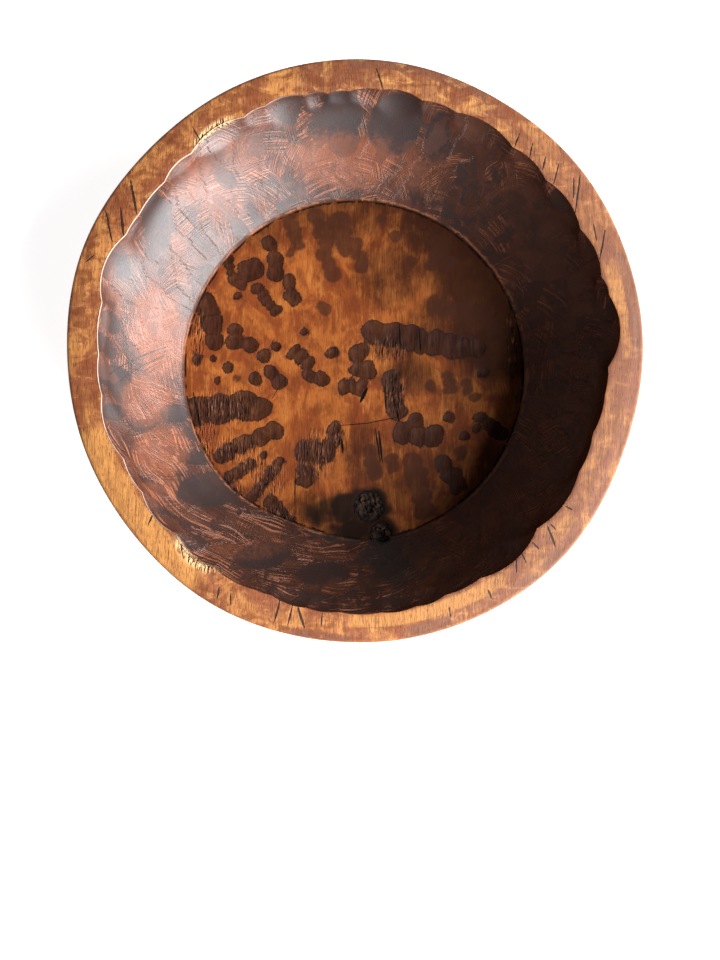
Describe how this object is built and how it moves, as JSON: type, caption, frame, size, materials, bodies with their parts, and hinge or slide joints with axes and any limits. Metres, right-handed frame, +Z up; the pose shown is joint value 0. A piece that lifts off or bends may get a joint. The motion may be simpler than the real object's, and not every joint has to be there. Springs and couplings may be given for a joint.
{
  "type": "carved wooden bowl",
  "caption": "Shallow round bowl gouged from one block of wood, with a flat rim, a scalloped lip, a fluted wall and a flat floor holding dead knots.",
  "frame": {"origin": "centre of the bounding box, on the table under the base", "axes": "+Z up out of the bowl; the wood's fibres run along Y, and the knots lie in the floor towards -Y"},
  "size_m": [0.3534, 0.3578, 0.08],
  "materials": {
    "bowl_wood": "oiled, with a soft sheen",
    "knot_wood": "dead, hard and cracked, partly glossy",
    "knot_bark": "dull, crumbled bark"
  },
  "bodies": {
    "root": {"bowl_body": "bowl_wood", "knot_core": "knot_wood", "knot_bark": "knot_bark", "twin_knot_core": "knot_wood", "twin_knot_bark": "knot_bark"}
  },
  "joints": []
}
